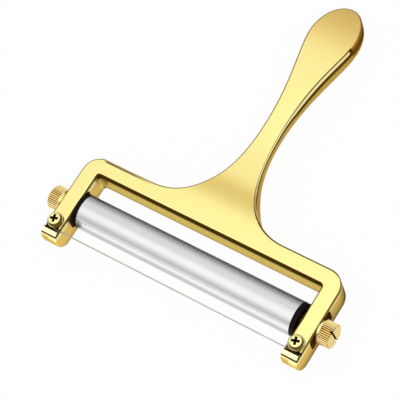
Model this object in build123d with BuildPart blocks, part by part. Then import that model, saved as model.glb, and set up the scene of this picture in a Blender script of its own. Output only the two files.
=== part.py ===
from build123d import *
import math
import os

# Wire cheese slicer: a cast frame with a paddle handle, a roller that slides in
# windows of the two arms, and a taut cutting wire clamped on the arm tips.
# X runs along the roller, +Y towards the handle's tip and +Z up, in millimetres.
# The origin is the middle of the crossbar's flat underside.

os.makedirs("parts", exist_ok=True)

# Head of the frame
arm_spacing = 120.4           # between the middles of the two arms
arm_width = 7.7
head_depth = 13.6             # height of the arms and the crossbar
crossbar_width = 7.6
screw_reach = 27.0            # from the crossbar's inner face to the clamp screws
nose_reach = 7.8              # from the clamp screws to the front of the arm tips
nose_height = 8.1             # of the foremost place of the arm tips
nose_back = 6.2               # from the front of the arm tips to where they lie flat
outer_corner_radius = 8.0
inner_corner_radius = 1.4
top_round = 1.0
bottom_round = 0.7
nose_corner_radius = 0.8

# Facet in front of the wire's groove
facet_angle = 23.0
facet_run = 3.15

# Handle in plan
handle_length = 111.5         # from the crossbar's outer face to the tip
blend_width = 66.0            # over which the two concave curves leave the crossbar
blend_pull = 18.0             # how far the curve hugs the crossbar
neck_pull = 32.0              # how far the curve hugs the waist
waist_reach = 47.4            # from the crossbar's outer face to the narrowest place
waist_width = 9.6
waist_pull = 24.0
tip_length = 16.6             # from the widest place to the tip
paddle_width = 22.2
paddle_pull = 10.0

# Handle in profile: how far its top lies below the head's top, and its thickness
neck_drop = 1.6
waist_drop = 1.9
swell_drop = 1.1
paddle_drop = 2.0
tip_drop = 4.4
dip_reach = 4.0               # where the handle's top leaves the head's level
neck_reach = 18.0
swell_reach = 82.0
heel_reach = 1.0              # where the underside starts to rise, past the crossbar
neck_thickness = 7.6
waist_thickness = 5.4
swell_thickness = 8.9
paddle_thickness = 8.2
tip_thickness = 4.6

# Windows in the arms, in which the roller is shifted
window_length = 16.0
window_height = 8.2
window_corner = 1.5
roller_reach = 11.0           # from the clamp screws to the roller's axis at rest
roller_drop = 5.6             # from the head's top down to the roller's axis
key_length = 8.4
key_clearance = 0.06          # between the guide key and the window's long walls
key_depth = 5.2               # how far the key reaches into the window
shoulder_diameter = 9.2
shoulder_thickness = 0.6

# Roller
tube_diameter = 15.5
tube_wall = 0.75
seat_clearance = 0.02         # between the cap's plug and the tube's bore
plug_length = 9.0
plug_chamfer = 0.5
cap_diameter = 15.3
flange_thickness = 2.25       # of the cap, past the end of the tube
cap_side_play = 0.2           # between each cap and the guide's shoulder
cap_round = 0.3
dish_diameter = 11.4
dish_depth = 1.9

# Bush on which each cap turns, and the thumbscrew that holds it
bush_diameter = 5.8
bush_length = 9.5
running_clearance = 0.05
shank_diameter = 4.0
shank_end_play = 0.8          # the shank stops this far short of the bush's end
collar_diameter = 9.6
collar_thickness = 0.6
knob_diameter = 10.8
knob_length = 5.9
knob_chamfer = 0.5
knurl_count = 36
knurl_depth = 0.4
drive_slot_width = 0.9
drive_slot_depth = 1.2
left_slot_turn = 60.0         # of the slot from upright
right_slot_turn = 4.0

# Wire, its groove, and the screws and washers that clamp it
wire_diameter = 0.6
wire_clearance = 0.05
groove_reach = 3.0            # from the clamp screws to the wire, towards the tips
groove_width = 0.9
groove_depth = 1.6
turn_radius = 1.0             # where the wire turns from the groove to the screw
dip_radius = 3.0              # where the wire dips into the groove
loop_angle = 230.0
screw_diameter = 3.5
screw_length = 9.5
screw_head_diameter = 5.8
screw_head_height = 2.1
screw_head_round = 0.9
cross_length = 3.7
cross_width = 1.2
cross_depth = 1.1
cross_turn = 17.0
washer_diameter = 7.2
washer_thickness = 0.6
washer_round = 0.12

# Places that follow from the sizes above
arm_x = arm_spacing / 2
inner_x = arm_x - arm_width / 2
outer_x = arm_x + arm_width / 2
bar_y = crossbar_width / 2
screw_y = -bar_y - screw_reach
nose_y = screw_y - nose_reach
axis_y = screw_y + roller_reach
axis_z = head_depth - roller_drop
handle_tip_y = bar_y + handle_length
paddle_reach = handle_length - tip_length
wire_y = screw_y - groove_reach
groove_floor = head_depth - groove_depth
wire_low_z = groove_floor + wire_clearance + wire_diameter / 2
wire_high_z = head_depth + wire_clearance / 4 + wire_diameter / 2
washer_z = head_depth + wire_diameter + wire_clearance / 2
head_z = washer_z + washer_thickness
shoulder_x = inner_x - shoulder_thickness
cap_x = shoulder_x - cap_side_play
tube_end = cap_x - flange_thickness


def profile_at(reach, drop):
    """A point of the handle's profile, counted from the crossbar's outer face and the head's top."""
    return (bar_y + reach, head_depth - drop)


def underside_at(reach, drop, thickness):
    """The point of the underside below profile_at."""
    return (bar_y + reach, head_depth - drop - thickness)


# The frame in plan: one half of the outline, from the tip of the handle to the arm
with BuildSketch(Plane.XY) as plan:
    with BuildLine():
        tip = (0, handle_tip_y)
        paddle = (paddle_width / 2, bar_y + paddle_reach)
        waist = (waist_width / 2, bar_y + waist_reach)
        blend = (blend_width / 2, bar_y)
        tip_hold = 0.5523     # control length that makes a Bezier quarter near an ellipse
        Bezier(
            tip,
            (paddle[0] * tip_hold, tip[1]),
            (paddle[0], paddle[1] + (tip[1] - paddle[1]) * tip_hold),
            paddle,
        )
        Bezier(paddle, (paddle[0], paddle[1] - paddle_pull), (waist[0], waist[1] + waist_pull), waist)
        Bezier(waist, (waist[0], waist[1] - neck_pull), (blend[0] - blend_pull, blend[1]), blend)
        Polyline(
            blend,
            (outer_x, bar_y),
            (outer_x, nose_y),
            (inner_x, nose_y),
            (inner_x, -bar_y),
            (0, -bar_y),
            tip,
        )
    make_face()
    outer_corner = plan.vertices().filter_by(lambda v: v.X > outer_x - 0.01 and v.Y > 0)
    fillet(outer_corner, outer_corner_radius)
    inner_corner = plan.vertices().filter_by(lambda v: abs(v.X - inner_x) < 0.01 and abs(v.Y + bar_y) < 0.01)
    fillet(inner_corner, inner_corner_radius)
    nose_corners = plan.vertices().filter_by(lambda v: v.X > inner_x - 0.01 and abs(v.Y - nose_y) < 0.01)
    fillet(nose_corners, nose_corner_radius)
    mirror(about=Plane.YZ)

# The frame in profile: nose, facet, flat top, dipping handle and hollowed underside
facet_top = (wire_y - groove_width / 2, head_depth)
facet_foot = (facet_top[0] - facet_run, head_depth - facet_run * math.tan(math.radians(facet_angle)))
flat_start = (nose_y + nose_back, 0)
heel = (bar_y + heel_reach, 0)

with BuildSketch(Plane.YZ.offset(-outer_x)) as profile:
    with BuildLine():
        ThreePointArc(facet_foot, (nose_y, nose_height), flat_start)
        Line(flat_start, heel)
        Spline(
            heel,
            underside_at(neck_reach, neck_drop, neck_thickness),
            underside_at(waist_reach, waist_drop, waist_thickness),
            underside_at(swell_reach, swell_drop, swell_thickness),
            underside_at(paddle_reach, paddle_drop, paddle_thickness),
            underside_at(handle_length, tip_drop, tip_thickness),
            tangents=[(1, 0), (1, 0.25)],
        )
        Line(
            underside_at(handle_length, tip_drop, tip_thickness),
            profile_at(handle_length, tip_drop),
        )
        Spline(
            profile_at(dip_reach, 0),
            profile_at(neck_reach, neck_drop),
            profile_at(waist_reach, waist_drop),
            profile_at(swell_reach, swell_drop),
            profile_at(paddle_reach, paddle_drop),
            profile_at(handle_length, tip_drop),
            tangents=[(1, 0), (1, -0.22)],
        )
        Polyline(profile_at(dip_reach, 0), facet_top, facet_foot)
    make_face()

dip_y = bar_y + dip_reach


def on_top(edge):
    """An edge of the top's outline, but not the line where the handle starts to dip, nor the facet's."""
    points = [edge @ 0, edge @ 0.5, edge @ 1]
    crosses = max(abs(point.Y - dip_y) for point in points) < 0.01
    high = min(point.Z for point in points) > head_depth - tip_drop - 0.01
    return high and points[1].Y > facet_top[0] + 0.01 and not crosses


def on_underside(edge):
    """An edge of the underside's outline, but not a line across it where the heel or a nose begins."""
    points = [edge @ 0, edge @ 0.5, edge @ 1]
    low = max(point.Z for point in points) < head_depth / 2
    flat = points[1].Z < 0.01 and points[1].Y > flat_start[0] + 0.01
    crosses = max(abs(point.Y - heel[0]) for point in points) < 0.01
    return low and (flat or points[1].Y > heel[0]) and not crosses


# The frame and the handle: one casting
with BuildPart() as frame_handle:
    extrude(plan.sketch, amount=head_depth)
    extrude(profile.sketch, amount=2 * outer_x, mode=Mode.INTERSECT)
    fillet(frame_handle.edges().filter_by(on_underside), bottom_round)
    fillet(frame_handle.edges().filter_by(on_top), top_round)
    for side in (-1, 1):
        # Window in which the roller's guide slides
        with BuildSketch(Plane.YZ.offset(side * arm_x)):
            with Locations((axis_y, axis_z)):
                RectangleRounded(window_length, window_height, window_corner)
        extrude(amount=arm_width, both=True, mode=Mode.SUBTRACT)
        # Groove for the wire, across the top of the arm
        with Locations((side * arm_x, wire_y, head_depth)):
            Box(2 * arm_width, groove_width, 2 * groove_depth, mode=Mode.SUBTRACT)
        # Hole for the clamp screw
        with Locations((side * arm_x, screw_y, head_depth)):
            Hole(screw_diameter / 2 + running_clearance, depth=screw_length + running_clearance)
frame_handle.part.label = "frame_handle"
export_step(frame_handle.part, "parts/frame_handle.step")

# The wire: a straight run in the grooves, a dip at each arm and a loop round each screw
loop_radius = screw_diameter / 2 + wire_clearance + wire_diameter / 2
turn_x = arm_x + loop_radius - turn_radius
dip_angle = math.acos(1 - (wire_high_z - wire_low_z) / (2 * dip_radius))
dip_run = dip_radius * math.sin(dip_angle)
dip_x = turn_x - 2 * dip_run


def dip_point(side, angle, from_turn):
    """A point of the dip, on the arc that starts at the groove or on the one that ends at the turn."""
    across = dip_radius * math.sin(angle)
    up = dip_radius * (1 - math.cos(angle))
    if from_turn:
        return (side * (turn_x - across), wire_y, wire_high_z - up)
    return (side * (dip_x + across), wire_y, wire_low_z + up)


def loop_point(side, degrees, radius, centre_x, centre_y):
    """A point of a bend in the plane of the loops."""
    angle = math.radians(degrees)
    return (side * (centre_x + radius * math.cos(angle)), centre_y + radius * math.sin(angle), wire_high_z)


with BuildPart() as cutting_wire:
    with BuildLine() as wire_path:
        Line(dip_point(-1, 0, False), dip_point(1, 0, False))
        for side in (-1, 1):
            ThreePointArc(
                dip_point(side, 0, False),
                dip_point(side, dip_angle / 2, False),
                dip_point(side, dip_angle, False),
            )
            ThreePointArc(
                dip_point(side, dip_angle, True),
                dip_point(side, dip_angle / 2, True),
                dip_point(side, 0, True),
            )
            ThreePointArc(
                loop_point(side, -90, turn_radius, turn_x, wire_y + turn_radius),
                loop_point(side, -45, turn_radius, turn_x, wire_y + turn_radius),
                loop_point(side, 0, turn_radius, turn_x, wire_y + turn_radius),
            )
            Line(
                loop_point(side, 0, turn_radius, turn_x, wire_y + turn_radius),
                loop_point(side, 0, loop_radius, arm_x, screw_y),
            )
            ThreePointArc(
                loop_point(side, 0, loop_radius, arm_x, screw_y),
                loop_point(side, loop_angle / 2, loop_radius, arm_x, screw_y),
                loop_point(side, loop_angle, loop_radius, arm_x, screw_y),
            )
    wire_line = wire_path.wires()[0]
    with BuildSketch(Plane(origin=wire_line @ 0, z_dir=wire_line % 0)):
        Circle(wire_diameter / 2)
    sweep(path=wire_line)
cutting_wire.part.label = "cutting_wire"
export_step(cutting_wire.part, "parts/cutting_wire.step")
print("wire: diameter", wire_diameter, "dip radius", dip_radius, "turn radius", turn_radius, "loop radius", loop_radius)
print("wire: length", wire_line.length, "from volume", cutting_wire.part.volume / (math.pi * wire_diameter**2 / 4))

# Roller: a thin steel tube
with BuildPart() as roller_tube:
    with BuildSketch(Plane.YZ.offset(-tube_end)):
        with Locations((axis_y, axis_z)):
            Circle(tube_diameter / 2)
            Circle(tube_diameter / 2 - tube_wall, mode=Mode.SUBTRACT)
    extrude(amount=2 * tube_end)
roller_tube.part.label = "roller_tube"
export_step(roller_tube.part, "parts/roller_tube.step")

# The pieces that come in pairs, one at each end
for side, hand, slot_turn in ((-1, "left", left_slot_turn), (1, "right", right_slot_turn)):

    # Planes across the roller's axis that face outwards on this side
    def across(x):
        return Plane(origin=(side * x, axis_y, axis_z), x_dir=(0, 1, 0), z_dir=(side, 0, 0))

    # Cap: a plug in the tube, a flange with a dished face, bored to turn on the bush
    with BuildPart() as roller_cap:
        with BuildSketch(across(tube_end - plug_length)):
            Circle(tube_diameter / 2 - tube_wall - seat_clearance)
        extrude(amount=plug_length)
        chamfer(roller_cap.edges().group_by(Axis.X)[0 if side > 0 else -1], plug_chamfer)
        with BuildSketch(across(tube_end)):
            Circle(cap_diameter / 2)
        extrude(amount=flange_thickness)
        fillet(roller_cap.edges().group_by(Axis.X)[-1 if side > 0 else 0], cap_round)
        with BuildSketch(across(cap_x)):
            Circle(dish_diameter / 2)
        extrude(amount=-dish_depth, mode=Mode.SUBTRACT)
        with BuildSketch(across(cap_x)):
            Circle(bush_diameter / 2 + running_clearance)
        extrude(amount=-(plug_length + flange_thickness), mode=Mode.SUBTRACT)
    roller_cap.part.label = hand + "_roller_cap"
    export_step(roller_cap.part, "parts/" + hand + "_roller_cap.step")

    # Bush on which the cap turns
    with BuildPart() as bush:
        with BuildSketch(across(shoulder_x)):
            Circle(bush_diameter / 2)
            Circle(shank_diameter / 2 + running_clearance, mode=Mode.SUBTRACT)
        extrude(amount=-bush_length)
    bush.part.label = hand + "_bush"
    export_step(bush.part, "parts/" + hand + "_bush.step")

    # Guide block: a key in the arm's window and a shoulder on the arm's inner face
    with BuildPart() as guide_block:
        with BuildSketch(across(inner_x)):
            RectangleRounded(key_length, window_height - 2 * key_clearance, window_corner)
        extrude(amount=key_depth)
        with BuildSketch(across(shoulder_x)):
            Circle(shoulder_diameter / 2)
        extrude(amount=shoulder_thickness)
        with BuildSketch(across(shoulder_x)):
            Circle(shank_diameter / 2 + running_clearance)
        extrude(amount=shoulder_thickness + key_depth, mode=Mode.SUBTRACT)
    guide_block.part.label = hand + "_guide_block"
    export_step(guide_block.part, "parts/" + hand + "_guide_block.step")

    # Thumbscrew: a knurled head with a screwdriver slot, a collar and a shank
    with BuildPart() as thumbscrew:
        with BuildSketch(across(outer_x + collar_thickness)):
            with BuildLine():
                ridge_angle = 360 / knurl_count
                rim = []
                for ridge in range(knurl_count):
                    rim.append(Vector(knob_diameter / 2, 0, 0).rotate(Axis.Z, ridge * ridge_angle))
                    root = Vector(knob_diameter / 2 - knurl_depth, 0, 0)
                    rim.append(root.rotate(Axis.Z, (ridge + 0.5) * ridge_angle))
                Polyline(*rim, close=True)
            make_face()
        extrude(amount=knob_length)
        with BuildSketch(across(outer_x + collar_thickness)) as knob_round:
            Circle(knob_diameter / 2)
        with BuildPart(mode=Mode.INTERSECT) as knob_ends:
            extrude(knob_round.sketch, amount=knob_length)
            chamfer(knob_ends.edges().filter_by(GeomType.CIRCLE), knob_chamfer)
        with BuildSketch(across(outer_x)):
            Circle(collar_diameter / 2)
        extrude(amount=collar_thickness)
        with BuildSketch(across(outer_x)):
            Circle(shank_diameter / 2)
        extrude(amount=-(outer_x - shoulder_x + bush_length - shank_end_play))
        with BuildSketch(across(outer_x + collar_thickness + knob_length)):
            Rectangle(drive_slot_width, 2 * knob_diameter, rotation=slot_turn)
        extrude(amount=-drive_slot_depth, mode=Mode.SUBTRACT)
    thumbscrew.part.label = hand + "_thumbscrew"
    export_step(thumbscrew.part, "parts/" + hand + "_thumbscrew.step")

    # Washer on the loop of the wire
    with BuildPart() as washer:
        with BuildSketch(Plane.XY.offset(washer_z)):
            with Locations((side * arm_x, screw_y)):
                Circle(washer_diameter / 2)
                Circle(screw_diameter / 2 + running_clearance, mode=Mode.SUBTRACT)
        extrude(amount=washer_thickness)
        fillet(washer.edges().filter_by(lambda e: e.length > math.pi * washer_diameter * 0.9), washer_round)
    washer.part.label = hand + "_clamp_washer"
    export_step(washer.part, "parts/" + hand + "_clamp_washer.step")

    # Clamp screw: a pan head with a cross recess, and a shank
    with BuildPart() as clamp_screw:
        with BuildSketch(Plane.XY.offset(head_z)):
            with Locations((side * arm_x, screw_y)):
                Circle(screw_head_diameter / 2)
        extrude(amount=screw_head_height)
        fillet(clamp_screw.edges().group_by(Axis.Z)[-1], screw_head_round)
        with BuildSketch(Plane.XY.offset(head_z)):
            with Locations((side * arm_x, screw_y)):
                Circle(screw_diameter / 2)
        extrude(amount=-(head_z - head_depth + screw_length))
        with BuildSketch(Plane.XY.offset(head_z + screw_head_height)):
            with Locations((side * arm_x, screw_y)):
                Rectangle(cross_length, cross_width, rotation=cross_turn)
                Rectangle(cross_width, cross_length, rotation=cross_turn)
        extrude(amount=-cross_depth, mode=Mode.SUBTRACT)
    clamp_screw.part.label = hand + "_clamp_screw"
    export_step(clamp_screw.part, "parts/" + hand + "_clamp_screw.step")
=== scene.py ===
"""Wire cheese slicer: gold casting, steel roller, black caps, brass thumbscrews and a taut wire."""

import math

import bpy
from mathutils import Matrix, Vector


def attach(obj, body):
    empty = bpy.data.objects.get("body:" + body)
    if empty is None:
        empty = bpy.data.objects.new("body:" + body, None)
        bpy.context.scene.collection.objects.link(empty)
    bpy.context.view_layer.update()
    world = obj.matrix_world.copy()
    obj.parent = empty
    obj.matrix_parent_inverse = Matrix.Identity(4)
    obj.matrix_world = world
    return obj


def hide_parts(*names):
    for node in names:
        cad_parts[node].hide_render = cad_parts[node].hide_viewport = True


MM = 0.001

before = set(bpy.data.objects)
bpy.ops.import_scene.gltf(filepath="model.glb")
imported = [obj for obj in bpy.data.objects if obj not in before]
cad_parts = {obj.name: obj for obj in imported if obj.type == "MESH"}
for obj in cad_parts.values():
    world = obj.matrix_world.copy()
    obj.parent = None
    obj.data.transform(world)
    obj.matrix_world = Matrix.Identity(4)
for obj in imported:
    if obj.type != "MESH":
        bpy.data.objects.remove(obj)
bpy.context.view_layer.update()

# Places and sizes of the pieces, in millimetres. A reach is a little more than the size, so that it
# takes in the faces there
SLACK = 0.1
HAIR = 0.02
FLAT_ENOUGH = 0.004
HEAD_TOP = 13.6
INNER_X = 56.35
OUTER_X = 64.05
DIP_Y = 7.8
LOWEST_TOP = 8.5
TOP_ROUND = 1.0
SCREW_X = 60.2
SCREW_Y = -30.8
HOLE_REACH = 1.9
CROSS_REACH = 1.95
CROSS_FLOOR = 1.5
AXIS_Y = -19.8
AXIS_Z = 8.0
WINDOW_REACH = 8.05
WINDOW_RISE = 4.2
GROOVE_BACK = -33.35
GROOVE_FRONT = -34.25
GROOVE_FLOOR = 12.0
KNURL_ROOT = 5.0
KNURL_REACH = 0.5
KNOB_FOOT = 0.4
KNOB_FACE = 4.6
SLOT_DEPTH = 1.2

# How far a face looks along the roller's axis: its normal's part along it
CROSSWISE = 0.3
SLANTED = 0.5
ENDWISE = 0.9

# Tones of the polished gold, painted with its reflections and shade: lit flat tops, lit rounds, dark lines
# under the rims, paler edges, pale facets, dark creases, shaded corners and shaded tan sides
LIT_TOP_GOLD = (1.0, 0.885, 0.35)
LIT_GOLD = (0.97, 0.90, 0.46)
PAINTED_LINE_SHADE = (0.16, 0.095, 0.012)
PAINTED_DEEP_SHADE = (0.085, 0.040, 0.002)
SHADED_TAN_GOLD = (0.67, 0.47, 0.125)
WALL_GOLD = (0.88, 0.68, 0.20)
PAINTED_EDGE_HIGHLIGHT = (0.84, 0.68, 0.34)
PAINTED_EDGE_SHADE = (0.12, 0.07, 0.010)
PAINTED_FACET_HIGHLIGHT = (1.0, 0.97, 0.54)
PAINTED_CREASE_SHADE = (0.035, 0.018, 0.001)
CORNER_SHADE = (0.66, 0.60, 0.55)
GOLD_GLANCE = (1.0, 0.83, 0.50)
WHITE = (1.0, 1.0, 1.0)

# The painted reflections and shade of the gold across each kind of rim: the millimetres from the edge of
# the flat top, and the painted tone
RIM_REACH = 6.0
SIDE_PACE = 0.45
RIM_TONES = {
    "plain": [
        (0.0, LIT_TOP_GOLD),
        (0.15, LIT_TOP_GOLD),
        (0.45, PAINTED_LINE_SHADE),
        (1.00, PAINTED_LINE_SHADE),
        (1.4, LIT_GOLD),
        (2.2, SHADED_TAN_GOLD),
    ],
    "handle": [
        (0.0, (0.10, 0.058, 0.007)),
        (0.50, (0.12, 0.070, 0.008)),
        (0.70, LIT_GOLD),
        (1.55, LIT_GOLD),
        (1.80, PAINTED_DEEP_SHADE),
        (2.55, PAINTED_DEEP_SHADE),
        (3.20, (0.52, 0.35, 0.08)),
    ],
    "paddle": [
        (0.0, (0.92, 0.76, 0.33)),
        (0.25, (0.80, 0.61, 0.21)),
        (0.6, (0.50, 0.32, 0.06)),
        (1.2, (0.30, 0.165, 0.018)),
        (2.1, (0.19, 0.098, 0.010)),
        (3.2, (0.16, 0.085, 0.013)),
        (4.2, SHADED_TAN_GOLD),
    ],
    "bar": [
        (0.0, LIT_TOP_GOLD),
        (0.25, LIT_TOP_GOLD),
        (0.55, PAINTED_DEEP_SHADE),
        (2.30, PAINTED_DEEP_SHADE),
        (3.30, WALL_GOLD),
    ],
    "arm": [
        (0.0, LIT_TOP_GOLD),
        (0.55, LIT_TOP_GOLD),
        (0.90, PAINTED_LINE_SHADE),
        (1.45, PAINTED_LINE_SHADE),
        (2.00, LIT_GOLD),
        (2.80, SHADED_TAN_GOLD),
    ],
}

# Shade along the handle, from the crossbar's middle: in the dip behind it and towards the paddle's end
HANDLE_REACH = 120.0
HANDLE_SHADE = [
    (0.0, WHITE),
    (6.6, WHITE),
    (11.4, (0.84, 0.73, 0.56)),
    (16.2, (0.77, 0.64, 0.50)),
    (19.8, (0.88, 0.78, 0.62)),
    (24.6, WHITE),
    (84.0, WHITE),
    (90.6, (0.98, 0.93, 0.86)),
    (96.0, (0.92, 0.80, 0.70)),
    (100.8, (0.83, 0.69, 0.58)),
    (105.6, (0.74, 0.59, 0.47)),
    (115.2, (0.62, 0.48, 0.36)),
]

# How much sooner the painted dark band under the handle's rim comes at the waist and the neck
RIM_PULL = [
    (7.8, 1.0),
    (14.0, 1.8),
    (20.0, 1.5),
    (30.0, 2.4),
    (40.0, 2.1),
    (50.0, 1.8),
    (60.0, 1.15),
    (70.0, 1.0),
    (130.0, 1.0),
]

# Painted light and shade of the clamp screws and washers by the millimetres from their axis, and of the
# knobs' knurls by those from the ridges' roots: painted shade in the roots and at the knob's foot by the
# arm
SCREW_REACH = 4.0
SCREW_TONES = [
    (0.0, LIT_TOP_GOLD),
    (2.2, LIT_TOP_GOLD),
    (2.55, LIT_GOLD),
    (2.78, PAINTED_LINE_SHADE),
    (3.15, PAINTED_LINE_SHADE),
    (3.28, LIT_GOLD),
    (3.38, LIT_GOLD),
    (3.46, PAINTED_DEEP_SHADE),
]
KNURL_TONES = [
    (0.0, (0.07, 0.034, 0.005)),
    (0.10, (0.11, 0.055, 0.008)),
    (0.17, (0.85, 0.54, 0.15)),
    (0.26, (1.0, 0.80, 0.35)),
    (0.5, (1.0, 0.86, 0.44)),
]
KNOB_FOOT_SHADE = 0.12


class Nodes:
    """The nodes of one material or of the world, and short ways to mix tones and masks in them."""

    COLUMN = 220
    ROW = 260

    def __init__(self, tree):
        self.tree = tree
        self.shader = tree.nodes.get("Principled BSDF")

    def add(self, kind, **values):
        """Add a node. The values are its settings, or its sockets with _ for a space."""
        made = self.tree.nodes.new(kind)
        for key, value in values.items():
            if hasattr(made, key):
                setattr(made, key, value)
            else:
                made.inputs[key.replace("_", " ")].default_value = value
        return made

    def feed(self, socket, source):
        """Link a socket, or set it where a plain number or colour is given."""
        if isinstance(source, bpy.types.NodeSocket):
            self.tree.links.new(source, socket)
        elif isinstance(source, tuple):
            socket.default_value = (*source, 1)
        else:
            socket.default_value = source

    def ramp(self, value, stops, interpolation="LINEAR"):
        """Tones along a value from 0 to 1. Each stop is a place and a level or a colour."""
        made = self.add("ShaderNodeValToRGB")
        band = made.color_ramp
        band.interpolation = interpolation
        while len(band.elements) > 1:
            band.elements.remove(band.elements[-1])
        for number, (place, level) in enumerate(stops):
            if number:
                stop = band.elements.new(place)
            else:
                stop = band.elements[0]
                stop.position = place
            colour = level if isinstance(level, tuple) else (level, level, level)
            stop.color = (*colour, 1)
        self.feed(made.inputs["Fac"], value)
        return made.outputs["Color"]

    def tones(self, value, reach, stops, interpolation="LINEAR"):
        """Tones along a value from 0 to its reach, with the stops in the value's own unit."""
        share = self.rising(value, 0.0, reach)
        return self.ramp(share, [(place / reach, level) for place, level in stops], interpolation)

    def rising(self, value, low, high, **ends):
        """A mask from 0 at the low value to 1 at the high one, or from To_Min to To_Max."""
        made = self.add("ShaderNodeMapRange", From_Min=low, From_Max=high, **ends)
        self.feed(made.inputs["Value"], value)
        return made.outputs["Result"]

    def falling(self, value, low, high):
        """A mask from 1 at the low value to 0 at the high one."""
        return self.rising(value, high, low)

    def along(self, value, stops):
        """A mask along a value, with the stops in the value's own unit and flat beyond them."""
        start, end = stops[0][0], stops[-1][0]
        share = self.rising(value, start, end)
        return self.ramp(share, [((place - start) / (end - start), level) for place, level in stops])

    def reckon(self, operation, first, second=0.0):
        made = self.add("ShaderNodeMath", operation=operation)
        self.feed(made.inputs[0], first)
        self.feed(made.inputs[1], second)
        return made.outputs["Value"]

    def both(self, first, second):
        return self.reckon("MULTIPLY", first, second)

    def either(self, first, second):
        return self.reckon("MAXIMUM", first, second)

    def blend(self, factor, first, second, blend_type="MIX"):
        """The first tone, with the second laid over it where the factor says."""
        made = self.add("ShaderNodeMix", data_type="RGBA", blend_type=blend_type)
        self.feed(made.inputs["Factor"], factor)
        self.feed(made.inputs["A"], first)
        self.feed(made.inputs["B"], second)
        return made.outputs["Result"]

    def shade(self, factor, tone, share):
        """The tone, multiplied by the share where the factor says."""
        return self.blend(factor, tone, share, "MULTIPLY")

    def arrange(self):
        """Lay the nodes out in columns, each to the left of all that it feeds."""
        column = {made.name: 0 for made in self.tree.nodes}
        moved = True
        while moved:
            moved = False
            for wire in self.tree.links:
                further = column[wire.to_node.name] + 1
                if column[wire.from_node.name] < further:
                    column[wire.from_node.name] = further
                    moved = True
        filled = {}
        for made in self.tree.nodes:
            number = column[made.name]
            row = filled.get(number, 0)
            made.location = (-self.COLUMN * number, -self.ROW * row)
            filled[number] = row + 1


def new_material(name):
    material = bpy.data.materials.new(name)
    material.use_nodes = True
    return material, Nodes(material.node_tree)


# Metals: how far the grain spreads the gloss, its depths, how much duller the casting's walls are than its
# tops, and the red of a painted dark tone that mirrors least and of a gold tone that mirrors fully
GRAIN_LOW = 0.8
GRAIN_HIGH = 1.25
POLISHED = 0.0015 * MM
DRAWN = 0.002 * MM
CAST = 0.003 * MM
WALL_ROUGHER = 0.25
WALL_MIRROR = 0.72
DARKEST_PAINTED_RED = 0.22
FULL_MIRROR_RED = 0.45


def add_grain(nodes, roughness, fineness, depth, stretch=WHITE, coarser=None):
    """A fine polishing grain in the gloss and the bump. Coarser is a mask of less polished places."""
    place = nodes.add("ShaderNodeTexCoord")
    stretched = nodes.add("ShaderNodeMapping", Scale=stretch)
    grain = nodes.add("ShaderNodeTexNoise", Scale=fineness, Detail=4.0)
    bump = nodes.add("ShaderNodeBump", Strength=1.0, Distance=depth)
    nodes.feed(stretched.inputs["Vector"], place.outputs["Object"])
    nodes.feed(grain.inputs["Vector"], stretched.outputs["Vector"])
    nodes.feed(bump.inputs["Height"], grain.outputs["Fac"])
    nodes.feed(nodes.shader.inputs["Normal"], bump.outputs["Normal"])
    spread = {"To_Min": roughness * GRAIN_LOW, "To_Max": roughness * GRAIN_HIGH}
    rough = nodes.rising(grain.outputs["Fac"], 0.0, 1.0, **spread)
    if coarser is not None:
        rough = nodes.reckon("ADD", nodes.both(coarser, WALL_ROUGHER), rough)
    nodes.feed(nodes.shader.inputs["Roughness"], rough)


def dull_painted_dark_tones(nodes, tone, satin=None):
    """The painted dark lines and shade mirror less than the bright gold. Satin is a mask of walls."""
    parts = nodes.add("ShaderNodeSeparateColor")
    nodes.feed(parts.inputs["Color"], tone)
    mirror = nodes.rising(parts.outputs["Red"], DARKEST_PAINTED_RED, FULL_MIRROR_RED)
    if satin is not None:
        mirror = nodes.both(mirror, nodes.rising(satin, 0.0, 1.0, To_Min=1.0, To_Max=WALL_MIRROR))
    nodes.feed(nodes.shader.inputs["Metallic"], mirror)
    nodes.feed(nodes.shader.inputs["Specular IOR Level"], 0.0)
    nodes.feed(nodes.shader.inputs["Specular Tint"], GOLD_GLANCE)


def metal(name, light, deep, roughness, fineness, depth, stretch=WHITE, metallic=1.0):
    """A plain metal whose colour drifts a little."""
    material, nodes = new_material(name)
    place = nodes.add("ShaderNodeTexCoord")
    drift = nodes.add("ShaderNodeTexNoise", Scale=60.0, Detail=3.0)
    nodes.feed(drift.inputs["Vector"], place.outputs["Object"])
    colour = nodes.ramp(drift.outputs["Fac"], [(0.3, deep), (0.7, light)])
    nodes.feed(nodes.shader.inputs["Base Color"], colour)
    nodes.feed(nodes.shader.inputs["Metallic"], metallic)
    add_grain(nodes, roughness, fineness, depth, stretch)
    nodes.arrange()
    return material


def toned_metal(name, attribute, reach, stops, roughness, fineness, depth):
    """A metal whose painted tones of light and shade follow one attribute of its mesh, in millimetres."""
    material, nodes = new_material(name)
    mark = nodes.add("ShaderNodeAttribute", attribute_name=attribute)
    tone = nodes.tones(mark.outputs["Fac"], reach, stops)
    nodes.feed(nodes.shader.inputs["Base Color"], tone)
    add_grain(nodes, roughness, fineness, depth)
    dull_painted_dark_tones(nodes, tone)
    nodes.arrange()
    return material


def nylon(name, colour, roughness):
    """Moulded nylon with a faint pebble."""
    material, nodes = new_material(name)
    place = nodes.add("ShaderNodeTexCoord")
    pebble = nodes.add("ShaderNodeTexNoise", Scale=1800.0, Detail=3.0)
    bump = nodes.add("ShaderNodeBump", Strength=0.6, Distance=0.02 * MM)
    nodes.feed(pebble.inputs["Vector"], place.outputs["Object"])
    nodes.feed(bump.inputs["Height"], pebble.outputs["Fac"])
    hollows = tuple(0.75 * level for level in colour)
    shade = nodes.ramp(pebble.outputs["Fac"], [(0.35, hollows), (0.65, colour)])
    nodes.feed(nodes.shader.inputs["Base Color"], shade)
    nodes.feed(nodes.shader.inputs["Normal"], bump.outputs["Normal"])
    nodes.feed(nodes.shader.inputs["Roughness"], roughness)
    nodes.feed(nodes.shader.inputs["Specular IOR Level"], 0.08)
    nodes.arrange()
    return material


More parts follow.
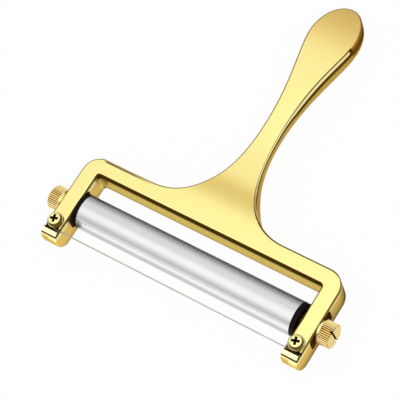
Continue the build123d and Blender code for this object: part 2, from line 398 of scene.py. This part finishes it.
# The gold casting
class Spot:
    """Where a point of the casting lies, in millimetres, how far across its rim, and on which side."""

    def __init__(self, nodes):
        texture = nodes.add("ShaderNodeTexCoord")
        in_mm = nodes.add("ShaderNodeVectorMath", operation="SCALE", Scale=1 / MM)
        place = nodes.add("ShaderNodeSeparateXYZ")
        facing = nodes.add("ShaderNodeSeparateXYZ")
        nodes.feed(in_mm.inputs["Vector"], texture.outputs["Object"])
        nodes.feed(place.inputs["Vector"], in_mm.outputs["Vector"])
        nodes.feed(facing.inputs["Vector"], texture.outputs["Normal"])
        self.x = place.outputs["X"]
        self.y = place.outputs["Y"]
        self.z = place.outputs["Z"]
        self.away = nodes.reckon("ABSOLUTE", self.x)
        self.rim = nodes.add("ShaderNodeAttribute", attribute_name="rim").outputs["Fac"]
        self.up = nodes.rising(facing.outputs["Z"], 0.70, 0.85)
        not_under = nodes.rising(facing.outputs["Z"], -0.85, -0.70)
        self.wall = nodes.both(nodes.rising(self.rim, 1.6, 2.3), not_under)
        self.right_half = nodes.rising(self.x, 0.3, 4.3)
        self.right_arm = nodes.rising(self.x, SCREW_X - SLACK, SCREW_X + SLACK)


def handle_side_tone(nodes, spot):
    """The handle's right side in painted reflections: its painted lit stripe stops short at the paddle,
    with a painted dark end.
    """
    handle = nodes.tones(spot.rim, RIM_REACH, RIM_TONES["handle"])
    paddle = nodes.tones(spot.rim, RIM_REACH, RIM_TONES["paddle"])
    tone = nodes.blend(nodes.rising(spot.y, 95.9, 96.9), handle, paddle)
    stripe_end = nodes.along(spot.y, [(94.6, 0.0), (95.4, 1.0), (96.6, 1.0), (97.3, 0.0)])
    stripe_width = nodes.along(spot.rim, [(0.0, 0.0), (0.1, 1.0), (2.0, 1.0), (2.6, 0.0)])
    return nodes.blend(nodes.both(stripe_end, stripe_width), tone, PAINTED_DEEP_SHADE)


def rim_tone(nodes, spot):
    """The painted reflections and shade of each kind of rim, where that kind is."""
    tone = nodes.tones(spot.rim, RIM_REACH, RIM_TONES["plain"])

    # A painted dark reflection line along the crossbar's outer edge, right of the middle
    outer_rim = nodes.along(spot.rim, [(0.08, 0.0), (0.22, 1.0), (1.15, 1.0), (1.5, 0.0)])
    outer_rim = nodes.both(outer_rim, nodes.rising(spot.y, 2.6, 2.8))
    tone = nodes.blend(nodes.both(outer_rim, spot.right_half), tone, PAINTED_LINE_SHADE)

    # The handle's right side
    on_handle = nodes.both(nodes.rising(spot.y, 9.3, 15.3), spot.right_half)
    on_handle = nodes.both(nodes.rising(spot.rim, 0.0, 0.05), on_handle)
    tone = nodes.blend(on_handle, tone, handle_side_tone(nodes, spot))

    # The right sides of both arms
    right_arm = nodes.both(nodes.falling(spot.y, 3.6, 4.2), spot.right_arm)
    left_arm = nodes.along(spot.x, [(-60.3, 0.0), (-60.1, 1.0), (-50.1, 1.0), (-50.0, 0.0)])
    left_arm = nodes.both(nodes.falling(spot.y, -2.0, -1.0), left_arm)
    arm = nodes.tones(spot.rim, RIM_REACH, RIM_TONES["arm"])
    tone = nodes.blend(nodes.either(right_arm, left_arm), tone, arm)

    # The crossbar's inner side
    bar_side = nodes.along(spot.y, [(-6.6, 0.0), (-4.8, 1.0), (-0.5, 1.0), (0.0, 0.0)])
    bar_side = nodes.both(bar_side, nodes.falling(spot.away, 56.5, 57.0))
    bar = nodes.tones(spot.rim, RIM_REACH, RIM_TONES["bar"])
    return nodes.blend(bar_side, tone, bar)


def shade_walls(nodes, spot, tone):
    """Painted shade on the walls: deeper towards their feet, most of all on the right arm and round its
    corner.
    """
    low = nodes.along(spot.z, [(0.0, 0.42), (1.5, 0.70), (3.5, 0.96), (4.5, 1.0)])
    tone = nodes.shade(spot.wall, tone, low)

    # A painted paler inner side of the left arm
    inner = nodes.along(spot.x, [(-57.2, 1.0), (-56.8, 1.4), (-56.3, 1.4), (-55.9, 1.0)])
    inward = nodes.falling(spot.y, -3.0, -2.5)
    tone = nodes.shade(nodes.both(spot.wall, inward), tone, inner)

    # Painted shade on the right arm's outer side
    on_right = nodes.both(spot.wall, spot.right_arm)
    low = nodes.along(spot.z, [(0.0, 0.55), (3.6, 0.66), (5.2, 0.84), (7.0, 0.96), (9.0, 1.0)])
    corner = nodes.along(spot.y, [(-28.0, 1.3), (-16.0, 1.0), (-5.5, 1.0), (-2.5, 0.62), (-0.5, 0.36)])
    tone = nodes.shade(on_right, tone, low)
    tone = nodes.shade(on_right, tone, corner)

    # Painted shade in the rounded inner corners: they are hollow, so they gather less light
    hollow = nodes.along(spot.away, [(54.5, 0.0), (55.0, 1.0), (56.2, 1.0), (56.34, 0.0)])
    deep = nodes.along(spot.y, [(-5.15, 0.0), (-5.05, 1.0), (-4.1, 1.0), (-3.85, 0.0)])
    hollow = nodes.both(hollow, deep)
    return nodes.shade(nodes.both(spot.wall, hollow), tone, CORNER_SHADE)


def line_outer_edge(nodes, spot, tone):
    """The painted dark reflection line inside the crossbar's outer edge, on its left half, with a painted
    paler edge beyond it.
    """
    left = nodes.along(spot.x, [(-57.5, 0.0), (-55.5, 1.0), (-42.0, 0.9), (-30.0, 0.0)])
    left = nodes.both(left, nodes.rising(spot.z, 12.3, 12.7))
    edge = nodes.rising(spot.y, 2.9, 3.2)
    line = nodes.along(spot.y, [(2.1, 0.0), (2.4, 1.0), (2.9, 1.0), (3.2, 0.0)])
    tone = nodes.blend(nodes.both(edge, left), tone, PAINTED_EDGE_HIGHLIGHT)
    return nodes.blend(nodes.both(line, left), tone, PAINTED_EDGE_SHADE)


def crease_tips(nodes, spot, tone):
    """The tips: a painted pale highlight on the facet, between painted dark shade lines behind it, at its
    foot and on its flank.
    """
    on_tip = nodes.both(spot.up, nodes.rising(spot.away, 56.2, 56.3))
    facet = nodes.along(spot.y, [(-37.5, 0.0), (-37.3, 1.0), (-34.5, 1.0), (-34.3, 0.0)])
    foot = nodes.along(spot.y, [(-37.6, 0.0), (-37.4, 1.0), (-36.95, 1.0), (-36.75, 0.0)])
    behind = nodes.along(spot.y, [(-35.2, 0.0), (-35.0, 1.0), (-33.4, 1.0), (-33.2, 0.0)])
    creases = nodes.either(foot, behind)
    left_flank = nodes.along(spot.x, [(-57.0, 0.0), (-56.8, 1.0), (-56.3, 1.0), (-56.2, 0.0)])
    right_flank = nodes.rising(spot.x, 63.4, 63.6)
    flanks = nodes.both(facet, nodes.either(left_flank, right_flank))
    tone = nodes.blend(nodes.both(on_tip, facet), tone, PAINTED_FACET_HIGHLIGHT)
    return nodes.blend(nodes.both(on_tip, nodes.either(creases, flanks)), tone, PAINTED_CREASE_SHADE)


def gold_finish():
    """The polished gold of the casting. Its neighbours mirror it as a plain dull painted shade, darker
    towards its foot.
    """
    material, nodes = new_material("polished_gold_casting")
    spot = Spot(nodes)
    tone = rim_tone(nodes, spot)
    tone = shade_walls(nodes, spot, tone)
    tone = line_outer_edge(nodes, spot, tone)
    tone = crease_tips(nodes, spot, tone)
    shade = nodes.tones(spot.y, HANDLE_REACH, HANDLE_SHADE, "B_SPLINE")
    shaded = nodes.shade(1.0, tone, shade)
    # Painted shade that mirrors show in place of the gold, darker towards the foot
    painted_mirror_tone = nodes.along(spot.z, [(0.0, 0.15), (5.6, 0.15), (9.0, 0.34), (12.0, 0.42)])
    rays = nodes.add("ShaderNodeLightPath")
    colour = nodes.blend(rays.outputs["Is Glossy Ray"], shaded, painted_mirror_tone)
    nodes.feed(nodes.shader.inputs["Base Color"], colour)
    add_grain(nodes, 0.13, 900.0, POLISHED, coarser=spot.wall)
    dull_painted_dark_tones(nodes, tone, spot.wall)
    nodes.arrange()
    return material


gold_casting = gold_finish()
steel = metal(
    "turned_steel",
    light=(0.71, 0.71, 0.71),
    deep=(0.68, 0.68, 0.68),
    roughness=0.20,
    fineness=500.0,
    depth=DRAWN,
    stretch=(1, 12, 12),
)
wire_steel = metal(
    "wire_steel",
    light=(0.58, 0.56, 0.44),
    deep=(0.46, 0.44, 0.34),
    roughness=0.30,
    fineness=900.0,
    depth=DRAWN,
)
bush_brass = metal(
    "bush_brass",
    light=(0.80, 0.52, 0.16),
    deep=(0.70, 0.44, 0.12),
    roughness=0.24,
    fineness=900.0,
    depth=CAST,
)
# Painted shade for the insides of the windows
shadow_brown = metal(
    "gold_with_painted_recess_shade",
    light=(0.34, 0.115, 0.022),
    deep=(0.20, 0.062, 0.011),
    roughness=0.30,
    fineness=700.0,
    depth=CAST,
    metallic=0.2,
)
screw_gold = toned_metal("screw_gold", "from_axis", SCREW_REACH, SCREW_TONES, 0.16, 900.0, POLISHED)
knob_brass = toned_metal("knurled_brass", "from_root", KNURL_REACH, KNURL_TONES, 0.22, 900.0, DRAWN)
brown_nylon = nylon("brown_nylon", (0.14, 0.040, 0.008), 0.40)
black_nylon = nylon("black_nylon", (0.006, 0.0025, 0.0015), 0.34)
# Painted black shade for the grooves, screw holes, cross recesses and slots
painted_black_shade = nylon("painted_black_recess_shade", (0.004, 0.002, 0.001), 0.6)


# The dressed pieces: the CAD solids, merged, marked and given smooth rounds
def deselect():
    for item in bpy.context.selected_objects:
        item.select_set(False)


def pick(piece):
    deselect()
    piece.select_set(True)
    bpy.context.view_layer.objects.active = piece


def paint(piece, material):
    piece.data.materials.clear()
    piece.data.materials.append(material)


def merged_copy(source, name):
    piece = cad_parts[source].copy()
    piece.data = piece.data.copy()
    piece.name = name
    bpy.context.scene.collection.objects.link(piece)
    for key in list(piece.keys()):
        del piece[key]
    pick(piece)
    bpy.ops.object.mode_set(mode="EDIT")
    bpy.ops.mesh.select_all(action="SELECT")
    bpy.ops.mesh.remove_doubles(threshold=0.001 * MM)
    bpy.ops.object.mode_set(mode="OBJECT")
    bpy.ops.mesh.customdata_custom_splitnormals_clear()
    return piece


def smooth_rounds(piece, angle=math.radians(40)):
    pick(piece)
    bpy.ops.object.shade_smooth_by_angle(angle=angle)
    weighted = piece.modifiers.new("weighted", "WEIGHTED_NORMAL")
    weighted.keep_sharp = True
    bpy.ops.object.modifier_apply(modifier="weighted")


def write_marks(piece, name, mark_of):
    """Write one attribute of a mesh: mark_of gives it from a vertex's place in millimetres."""
    marks = piece.data.attributes.new(name, "FLOAT", "POINT")
    for vertex in piece.data.vertices:
        marks.data[vertex.index].value = mark_of(*(vertex.co / MM))


def level_between(stops, place, before, beyond):
    """The level at one place of a list of places and levels."""
    if place <= stops[0][0]:
        return before
    for (start, low), (end, high) in zip(stops, stops[1:]):
        if start <= place <= end:
            return low + (high - low) * (place - start) / (end - start)
    return beyond


def on_top(face):
    """True for the faces of the handle's top: they run level across and slope only along it."""
    level_across = abs(face.normal.x) < 0.01 and -0.25 < face.normal.y < 0.25 and face.normal.z > 0.93
    return level_across and face.center.y > DIP_Y * MM and face.center.z > LOWEST_TOP * MM


def top_profile(mesh):
    """Heights of the handle's top along its length, from its own faces."""
    heights = {}
    for face in mesh.polygons:
        if on_top(face):
            for index in face.vertices:
                place = mesh.vertices[index].co / MM
                heights[round(place.y, 3)] = place.z
    return sorted(heights.items())


def rim_place(depth):
    """Place across the rim as it is seen from above: 0 where the round starts, growing down the side."""
    sunk = min(max(depth / TOP_ROUND, 0.0), 1.0)
    return TOP_ROUND * math.sqrt(1 - (1 - sunk) ** 2) + SIDE_PACE * max(depth, 0.0)


def mark_rims(piece):
    profile = top_profile(piece.data)

    def place_across(x, y, z):
        depth = level_between(profile, y, HEAD_TOP, profile[-1][1]) - z
        if depth < FLAT_ENOUGH:
            depth = 0.0
        pull = level_between(RIM_PULL, y, 1.0, 1.0) if x > 0 else 1.0
        return rim_place(depth) * pull

    write_marks(piece, "rim", place_across)


def from_screw(side, x, y):
    return math.hypot(x - side * SCREW_X, y - SCREW_Y)


def mark_from_axis(piece, side):
    write_marks(piece, "from_axis", lambda x, y, z: from_screw(side, x, y))


def mark_knurl(piece):
    def from_root(x, y, z):
        away = math.hypot(y - AXIS_Y, z - AXIS_Z)
        # Painted shade at the knob's foot, by the arm
        if OUTER_X < x < OUTER_X + KNOB_FOOT:
            return KNOB_FOOT_SHADE
        if away > KNURL_ROOT - HAIR:
            return away - KNURL_ROOT
        return KNURL_REACH

    write_marks(piece, "from_root", from_root)


def paint_shade_in_recesses(piece):
    """Painted shade: the insides of the windows get a dark brown, and those of the grooves and the screw
    holes black.
    """
    mesh = piece.data
    mesh.materials.append(shadow_brown)
    mesh.materials.append(painted_black_shade)
    for face in mesh.polygons:
        x, y, z = face.center / MM
        inside_arm = INNER_X + 3 * SLACK < abs(x) < OUTER_X - 3 * SLACK and abs(face.normal.x) < SLANTED
        window = inside_arm and abs(y - AXIS_Y) < WINDOW_REACH and abs(z - AXIS_Z) < WINDOW_RISE
        in_line = GROOVE_FRONT - HAIR < y < GROOVE_BACK + HAIR and abs(x) > INNER_X - SLACK
        groove = in_line and z > GROOVE_FLOOR - SLACK
        hole = from_screw(1, abs(x), y) < HOLE_REACH and z < HEAD_TOP - HAIR / 2
        if window:
            face.material_index = 1
        if groove or hole:
            face.material_index = 2


def paint_shade_in_cross(piece, side):
    """The screw's cross recess gets a painted black shade inside."""
    mesh = piece.data
    mesh.materials.append(painted_black_shade)
    top = max(vertex.co.z for vertex in mesh.vertices) / MM
    for face in mesh.polygons:
        x, y, z = face.center / MM
        sunk = top - z
        if from_screw(side, x, y) < CROSS_REACH and SLACK < sunk < CROSS_FLOOR:
            face.material_index = 1


def paint_shade_in_slot(piece, side):
    """The thumbscrew's screwdriver slot gets a painted black shade inside."""
    mesh = piece.data
    mesh.materials.append(painted_black_shade)
    end = max(side * vertex.co.x for vertex in mesh.vertices) / MM
    for face in mesh.polygons:
        x, y, z = face.center / MM
        sunk = end - side * x
        in_head = math.hypot(y - AXIS_Y, z - AXIS_Z) < KNOB_FACE
        wall = in_head and abs(face.normal.x) < CROSSWISE
        floor_of_slot = abs(face.normal.x) > ENDWISE and sunk > SLOT_DEPTH - SLACK
        if sunk < SLOT_DEPTH + SLACK and (wall or floor_of_slot):
            face.material_index = 1


def dress(source, body, finish):
    """Cover one CAD solid with its finished copy, which moves with the body."""
    piece = merged_copy(source, source + "_dressed")
    side = -1 if source.startswith("left_") else 1
    paint(piece, finish)
    if source == "frame_handle":
        mark_rims(piece)
        paint_shade_in_recesses(piece)
    if finish == screw_gold:
        mark_from_axis(piece, side)
    if source.endswith("_clamp_screw"):
        paint_shade_in_cross(piece, side)
    if source.endswith("_thumbscrew"):
        mark_knurl(piece)
        paint_shade_in_slot(piece, side)
    smooth_rounds(piece)
    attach(piece, body)
    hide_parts(source)


dress("frame_handle", "frame", gold_casting)
dress("cutting_wire", "frame", wire_steel)
dress("roller_tube", "roller", steel)
for hand in ("left", "right"):
    dress(hand + "_clamp_screw", "frame", screw_gold)
    dress(hand + "_clamp_washer", "frame", screw_gold)
    dress(hand + "_roller_cap", "roller", black_nylon)
    dress(hand + "_bush", "carriage", bush_brass)
    dress(hand + "_guide_block", "carriage", brown_nylon)
    dress(hand + "_thumbscrew", hand + "_thumbscrew", knob_brass)


# Table: pale paper that keeps the shadow. Polished pieces mirror it with painted light, brighter in front
# of the arms,
# and a painted shadow under the roller: its tones run from the near place to the far one, in metres
TABLE_SIZE = 6.0
TABLE_WHITE = (0.86, 0.86, 0.86)
TABLE_GLOW = 0.965
TABLE_NEAR = -0.10
TABLE_FAR = 0.10
TABLE_PAINTED_TONES = [
    (0.0, 1.40),
    (0.145, 1.39),
    (0.20, 1.38),
    (0.255, 1.22),
    (0.29, 1.0),
    (0.315, 0.82),
    (0.42, 0.82),
    (0.60, 1.0),
]


def table_paper():
    material, nodes = new_material("floor_paper")
    nodes.feed(nodes.shader.inputs["Base Color"], TABLE_WHITE)
    nodes.feed(nodes.shader.inputs["Roughness"], 0.9)
    rays = nodes.add("ShaderNodeLightPath")
    texture = nodes.add("ShaderNodeTexCoord")
    place = nodes.add("ShaderNodeSeparateXYZ")
    glow = nodes.add("ShaderNodeEmission", Strength=1.0)
    mixed = nodes.add("ShaderNodeMixShader")
    nodes.feed(place.inputs["Vector"], texture.outputs["Object"])
    painted_mirror_tone = nodes.ramp(nodes.rising(place.outputs["Y"], TABLE_NEAR, TABLE_FAR), TABLE_PAINTED_TONES)
    nodes.feed(glow.inputs["Color"], nodes.blend(rays.outputs["Is Glossy Ray"], WHITE, painted_mirror_tone))
    seen = nodes.rising(rays.outputs["Is Camera Ray"], 0.0, 1.0, To_Max=TABLE_GLOW)
    nodes.feed(mixed.inputs["Fac"], nodes.either(seen, rays.outputs["Is Glossy Ray"]))
    nodes.feed(mixed.inputs[1], nodes.shader.outputs["BSDF"])
    nodes.feed(mixed.inputs[2], glow.outputs["Emission"])
    output = nodes.tree.nodes["Material Output"]
    nodes.feed(output.inputs["Surface"], mixed.outputs["Shader"])
    nodes.arrange()
    return material


deselect()
bpy.ops.mesh.primitive_plane_add(size=TABLE_SIZE, location=(0, 0, 0))
floor = bpy.context.active_object
floor.name = "studio_floor"
paint(floor, table_paper())

# Studio: soft light from walls in front and behind, each with tones from the ground up, and white in view
FRONT_WALL = [
    (0.0, 1.3),
    (0.05, 1.3),
    (0.144, 0.95),
    (0.329, 0.70),
    (0.5, 0.79),
    (0.649, 1.02),
    (0.77, 1.24),
    (0.857, 1.34),
    (1.0, 1.3),
]
BACK_WALL = [
    (0.0, 0.35),
    (0.22, 0.54),
    (0.40, 0.727),
    (0.565, 0.94),
    (0.70, 1.0),
    (0.81, 0.97),
    (0.88, 1.0),
    (0.93, 1.2),
    (1.0, 1.25),
]
WALLS_MEET = 0.15


def light_studio():
    world = bpy.context.scene.world or bpy.data.worlds.new("studio")
    bpy.context.scene.world = world
    world.use_nodes = True
    nodes = Nodes(world.node_tree)
    around = nodes.add("ShaderNodeTexCoord")
    way = nodes.add("ShaderNodeSeparateXYZ")
    rays = nodes.add("ShaderNodeLightPath")
    nodes.feed(way.inputs["Vector"], around.outputs["Generated"])
    front = nodes.ramp(way.outputs["Z"], FRONT_WALL)
    back = nodes.ramp(way.outputs["Z"], BACK_WALL)
    behind = nodes.rising(way.outputs["Y"], -WALLS_MEET, WALLS_MEET, interpolation_type="SMOOTHSTEP")
    walls = nodes.blend(behind, front, back)
    background = nodes.tree.nodes["Background"]
    nodes.feed(background.inputs["Color"], nodes.blend(rays.outputs["Is Camera Ray"], walls, WHITE))
    nodes.feed(background.inputs["Strength"], 1.0)
    nodes.arrange()


light_studio()

# Camera: the photograph's own viewpoint, solved from the part's corners
AIM = Vector((-9.77, 4.57, 13.6)) * MM
AZIMUTH = math.radians(55.22)
ELEVATION = math.radians(61.21)
ROLL = math.radians(-25.66)
DISTANCE = 799.9 * MM
SENSOR = 36.0
FOCAL_PIXELS = 1913.2
PHOTO_PIXELS = 400
SHIFT_X = 0.0046
SHIFT_Y = 0.0042


def place_camera():
    flat = math.cos(ELEVATION)
    back = Vector((math.sin(AZIMUTH) * flat, -math.cos(AZIMUTH) * flat, math.sin(ELEVATION)))
    level = Vector((0, 0, 1)).cross(back).normalized()
    upright = back.cross(level)
    right = level * math.cos(ROLL) + upright * math.sin(ROLL)
    up = upright * math.cos(ROLL) - level * math.sin(ROLL)
    lens = bpy.data.cameras.new("photo_camera")
    lens.sensor_width = SENSOR
    lens.lens = SENSOR * FOCAL_PIXELS / PHOTO_PIXELS
    lens.shift_x = SHIFT_X
    lens.shift_y = SHIFT_Y
    lens.clip_start = 0.01
    lens.clip_end = 20.0
    camera = bpy.data.objects.new("photo_camera", lens)
    bpy.context.scene.collection.objects.link(camera)
    turn = Matrix((right, up, back)).transposed().to_4x4()
    camera.matrix_world = Matrix.Translation(AIM + back * DISTANCE) @ turn
    bpy.context.scene.camera = camera


place_camera()
bpy.context.scene.view_settings.view_transform = "Standard"
